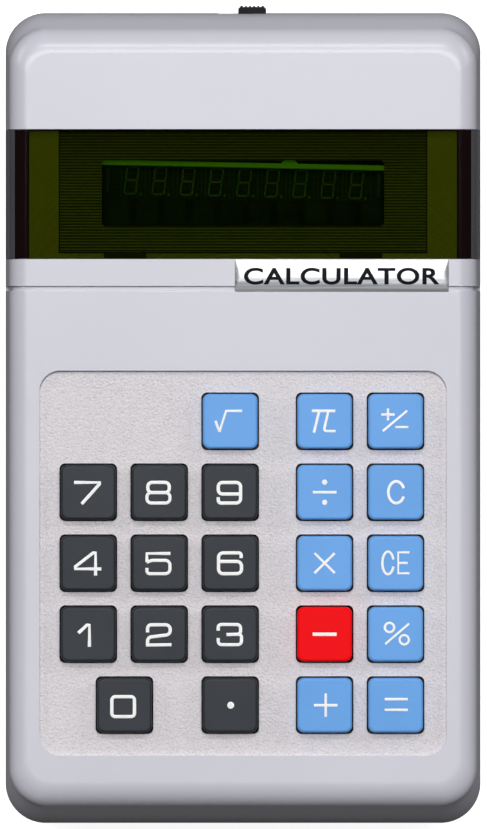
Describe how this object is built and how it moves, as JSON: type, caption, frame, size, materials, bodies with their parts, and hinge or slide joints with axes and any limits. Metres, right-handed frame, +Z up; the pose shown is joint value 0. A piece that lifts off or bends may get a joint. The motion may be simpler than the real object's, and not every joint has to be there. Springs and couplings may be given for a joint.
{
  "type": "pocket calculator",
  "caption": "Pocket calculator with a tube display behind a dark green window, separate spring-back keys, a sliding power switch and a slide-off battery cover.",
  "frame": {"origin": "on the table, under the middle of the case outline, with the calculator lying on its four feet", "axes": "+Z up, out of the keys; +Y towards the display end; +X to the reader's right"},
  "size_m": [0.078, 0.1341, 0.0264],
  "materials": {
    "case_plastic": "satin moulded, pale silver-lavender",
    "window_plastic": "clear dark green, polished",
    "black_plastic": "satin",
    "brushed_plate": "brushed lengthwise, bevelled edges",
    "dark_key_plastic": "satin gloss, moulded",
    "blue_key_plastic": "satin gloss, moulded",
    "red_key_plastic": "satin gloss, moulded",
    "grey_rubber": "matt silicone",
    "black_rubber": "matt",
    "brown_board": "phenolic board",
    "green_board": "board with solder mask",
    "gold_contacts": "gold flash",
    "tinned_wire": "tinned",
    "spring_steel": "nickel plated",
    "grid_steel": "etched foil and wire",
    "tube_plate": "black glass plate",
    "tube_glass": "clear",
    "phosphor": "printed phosphor on carbon",
    "black_epoxy": "moulded epoxy",
    "coil": "enamelled copper on a ferrite bobbin",
    "capacitor_sleeve": "sleeve over an aluminium can",
    "resistor_body": "lacquered",
    "zinc_steel": "zinc plated",
    "cell_steel": "printed steel jacket",
    "red_lead": "insulated wire",
    "screw_steel": "plated"
  },
  "bodies": {
    "case": {"front_case": "case_plastic", "rear_case": "case_plastic", "display_window": "window_plastic", "display_mask": "black_plastic", "nameplate": "brushed_plate", "rubber_keypad": "grey_rubber", "keyboard_board": "brown_board", "contact_pads": "gold_contacts", "logic_board": "green_board", "board_link_wires": "tinned_wire", "tube_base": "tube_plate", "tube_glass": "tube_glass", "tube_segments": "phosphor", "tube_grids": "grid_steel", "tube_filaments": "grid_steel", "tube_leads": "tinned_wire", "logic_chip": "black_epoxy", "logic_chip_pins": "tinned_wire", "converter_coil": "coil", "capacitors": "capacitor_sleeve", "resistors": "resistor_body", "transistors": "black_epoxy", "switch_housing": "zinc_steel", "battery_cell_1": "cell_steel", "battery_cell_2": "cell_steel", "battery_cell_3": "cell_steel", "battery_cell_4": "cell_steel", "battery_springs": "spring_steel", "battery_contacts": "spring_steel", "battery_leads": "red_lead", "case_screws": "screw_steel", "keyboard_screws": "screw_steel", "logic_screws": "screw_steel", "rubber_feet": "black_rubber"},
    "key_square_root_cap": {"key_square_root": "blue_key_plastic"},
    "key_pi_cap": {"key_pi": "blue_key_plastic"},
    "key_sign_change_cap": {"key_sign_change": "blue_key_plastic"},
    "key_7_cap": {"key_7": "dark_key_plastic"},
    "key_8_cap": {"key_8": "dark_key_plastic"},
    "key_9_cap": {"key_9": "dark_key_plastic"},
    "key_divide_cap": {"key_divide": "blue_key_plastic"},
    "key_clear_cap": {"key_clear": "blue_key_plastic"},
    "key_4_cap": {"key_4": "dark_key_plastic"},
    "key_5_cap": {"key_5": "dark_key_plastic"},
    "key_6_cap": {"key_6": "dark_key_plastic"},
    "key_multiply_cap": {"key_multiply": "blue_key_plastic"},
    "key_clear_entry_cap": {"key_clear_entry": "blue_key_plastic"},
    "key_1_cap": {"key_1": "dark_key_plastic"},
    "key_2_cap": {"key_2": "dark_key_plastic"},
    "key_3_cap": {"key_3": "dark_key_plastic"},
    "key_minus_cap": {"key_minus": "red_key_plastic"},
    "key_percent_cap": {"key_percent": "blue_key_plastic"},
    "key_0_cap": {"key_0": "dark_key_plastic"},
    "key_point_cap": {"key_point": "dark_key_plastic"},
    "key_plus_cap": {"key_plus": "blue_key_plastic"},
    "key_equals_cap": {"key_equals": "blue_key_plastic"},
    "switch_knob": {"power_switch_knob": "black_plastic"},
    "cover": {"battery_cover": "case_plastic"}
  },
  "joints": [
    {"name": "key_square_root_press", "type": "slide", "parent": "case", "child": "key_square_root_cap", "axis": [0, 0, -1], "range_m": [0, 0.0012], "stiffness_N_per_m": 400, "springref_m": -0.0006, "deforming": ["rubber_keypad"]},
    {"name": "key_pi_press", "type": "slide", "parent": "case", "child": "key_pi_cap", "axis": [0, 0, -1], "range_m": [0, 0.0012], "stiffness_N_per_m": 400, "springref_m": -0.0006},
    {"name": "key_sign_change_press", "type": "slide", "parent": "case", "child": "key_sign_change_cap", "axis": [0, 0, -1], "range_m": [0, 0.0012], "stiffness_N_per_m": 400, "springref_m": -0.0006},
    {"name": "key_7_press", "type": "slide", "parent": "case", "child": "key_7_cap", "axis": [0, 0, -1], "range_m": [0, 0.0012], "stiffness_N_per_m": 400, "springref_m": -0.0006},
    {"name": "key_8_press", "type": "slide", "parent": "case", "child": "key_8_cap", "axis": [0, 0, -1], "range_m": [0, 0.0012], "stiffness_N_per_m": 400, "springref_m": -0.0006},
    {"name": "key_9_press", "type": "slide", "parent": "case", "child": "key_9_cap", "axis": [0, 0, -1], "range_m": [0, 0.0012], "stiffness_N_per_m": 400, "springref_m": -0.0006},
    {"name": "key_divide_press", "type": "slide", "parent": "case", "child": "key_divide_cap", "axis": [0, 0, -1], "range_m": [0, 0.0012], "stiffness_N_per_m": 400, "springref_m": -0.0006},
    {"name": "key_clear_press", "type": "slide", "parent": "case", "child": "key_clear_cap", "axis": [0, 0, -1], "range_m": [0, 0.0012], "stiffness_N_per_m": 400, "springref_m": -0.0006},
    {"name": "key_4_press", "type": "slide", "parent": "case", "child": "key_4_cap", "axis": [0, 0, -1], "range_m": [0, 0.0012], "stiffness_N_per_m": 400, "springref_m": -0.0006},
    {"name": "key_5_press", "type": "slide", "parent": "case", "child": "key_5_cap", "axis": [0, 0, -1], "range_m": [0, 0.0012], "stiffness_N_per_m": 400, "springref_m": -0.0006},
    {"name": "key_6_press", "type": "slide", "parent": "case", "child": "key_6_cap", "axis": [0, 0, -1], "range_m": [0, 0.0012], "stiffness_N_per_m": 400, "springref_m": -0.0006},
    {"name": "key_multiply_press", "type": "slide", "parent": "case", "child": "key_multiply_cap", "axis": [0, 0, -1], "range_m": [0, 0.0012], "stiffness_N_per_m": 400, "springref_m": -0.0006},
    {"name": "key_clear_entry_press", "type": "slide", "parent": "case", "child": "key_clear_entry_cap", "axis": [0, 0, -1], "range_m": [0, 0.0012], "stiffness_N_per_m": 400, "springref_m": -0.0006},
    {"name": "key_1_press", "type": "slide", "parent": "case", "child": "key_1_cap", "axis": [0, 0, -1], "range_m": [0, 0.0012], "stiffness_N_per_m": 400, "springref_m": -0.0006},
    {"name": "key_2_press", "type": "slide", "parent": "case", "child": "key_2_cap", "axis": [0, 0, -1], "range_m": [0, 0.0012], "stiffness_N_per_m": 400, "springref_m": -0.0006},
    {"name": "key_3_press", "type": "slide", "parent": "case", "child": "key_3_cap", "axis": [0, 0, -1], "range_m": [0, 0.0012], "stiffness_N_per_m": 400, "springref_m": -0.0006},
    {"name": "key_minus_press", "type": "slide", "parent": "case", "child": "key_minus_cap", "axis": [0, 0, -1], "range_m": [0, 0.0012], "stiffness_N_per_m": 400, "springref_m": -0.0006},
    {"name": "key_percent_press", "type": "slide", "parent": "case", "child": "key_percent_cap", "axis": [0, 0, -1], "range_m": [0, 0.0012], "stiffness_N_per_m": 400, "springref_m": -0.0006},
    {"name": "key_0_press", "type": "slide", "parent": "case", "child": "key_0_cap", "axis": [0, 0, -1], "range_m": [0, 0.0012], "stiffness_N_per_m": 400, "springref_m": -0.0006},
    {"name": "key_point_press", "type": "slide", "parent": "case", "child": "key_point_cap", "axis": [0, 0, -1], "range_m": [0, 0.0012], "stiffness_N_per_m": 400, "springref_m": -0.0006},
    {"name": "key_plus_press", "type": "slide", "parent": "case", "child": "key_plus_cap", "axis": [0, 0, -1], "range_m": [0, 0.0012], "stiffness_N_per_m": 400, "springref_m": -0.0006},
    {"name": "key_equals_press", "type": "slide", "parent": "case", "child": "key_equals_cap", "axis": [0, 0, -1], "range_m": [0, 0.0012], "stiffness_N_per_m": 400, "springref_m": -0.0006},
    {"name": "power_switch_slide", "type": "slide", "parent": "case", "child": "switch_knob", "axis": [1, 0, 0], "range_m": [-0.003, 0]},
    {"name": "battery_cover_slide", "type": "slide", "parent": "case", "child": "cover", "axis": [0, -1, 0], "range_m": [0, 0.058]}
  ]
}
